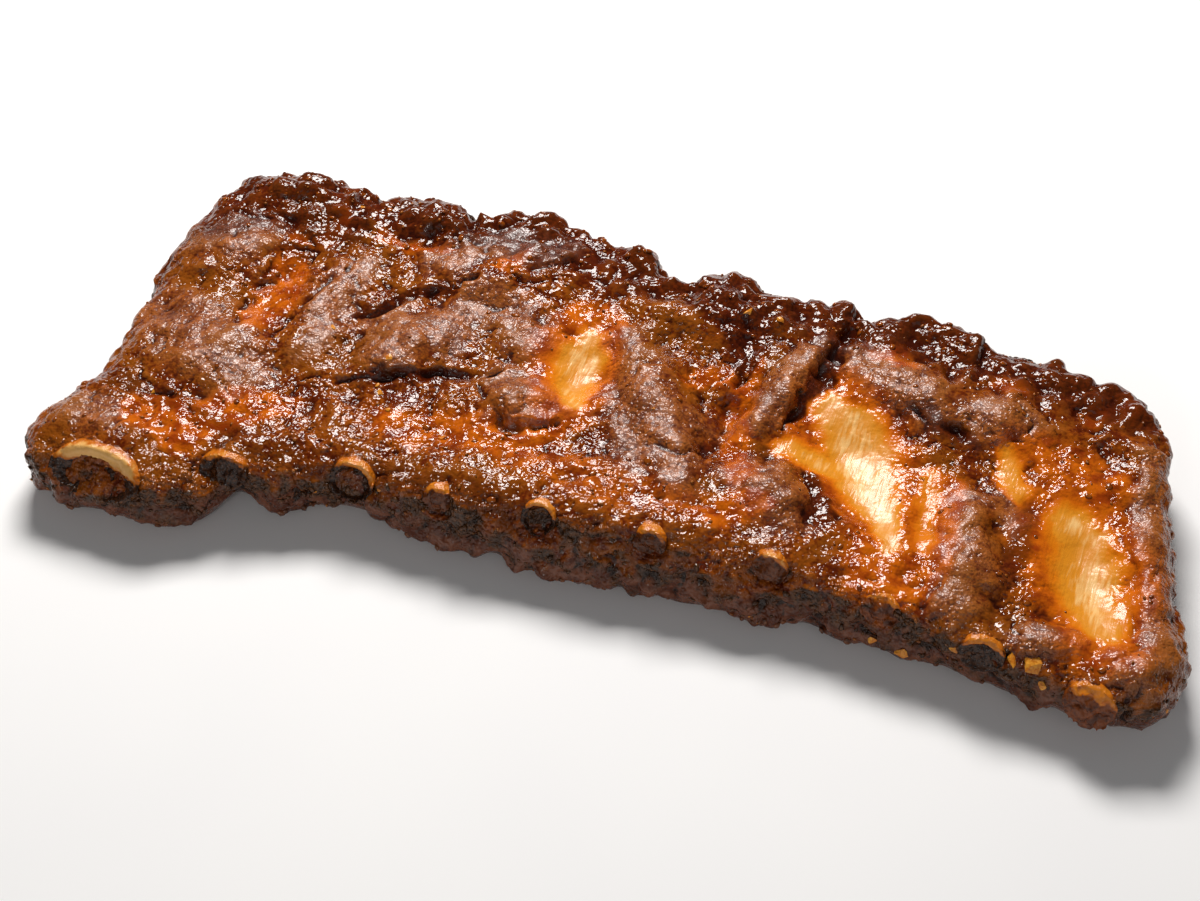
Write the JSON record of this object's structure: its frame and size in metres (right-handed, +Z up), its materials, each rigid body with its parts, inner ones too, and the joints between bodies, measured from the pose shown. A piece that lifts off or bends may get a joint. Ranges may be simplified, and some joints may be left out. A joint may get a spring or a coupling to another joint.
{
  "type": "rack of ribs",
  "caption": "Cooked rack of pork back ribs with a dark, sticky glaze, lying bone side up, with the cut ends of its rib bones along one long edge.",
  "frame": {"origin": "middle of the rack's footprint, on the surface it lies on", "axes": "+X along the rack, from the end with the longest flap to the other; +Y from the edge with the cut bone ends to the rear edge; +Z up, out of the bone side"},
  "size_m": [0.353, 0.159, 0.0314],
  "materials": {
    "glazed_meat": "sticky dark brown glaze over browned meat, with amber and tan patches where the membrane shows",
    "rib_bone": "tan bone, stained amber by the glaze, with dark shrunken marrow in the cut ends"
  },
  "bodies": {
    "root": {"meat": "glazed_meat", "rib_01": "rib_bone", "rib_02": "rib_bone", "rib_03": "rib_bone", "rib_04": "rib_bone", "rib_05": "rib_bone", "rib_06": "rib_bone", "rib_07": "rib_bone", "rib_08": "rib_bone", "rib_09": "rib_bone", "rib_10": "rib_bone"}
  },
  "joints": []
}
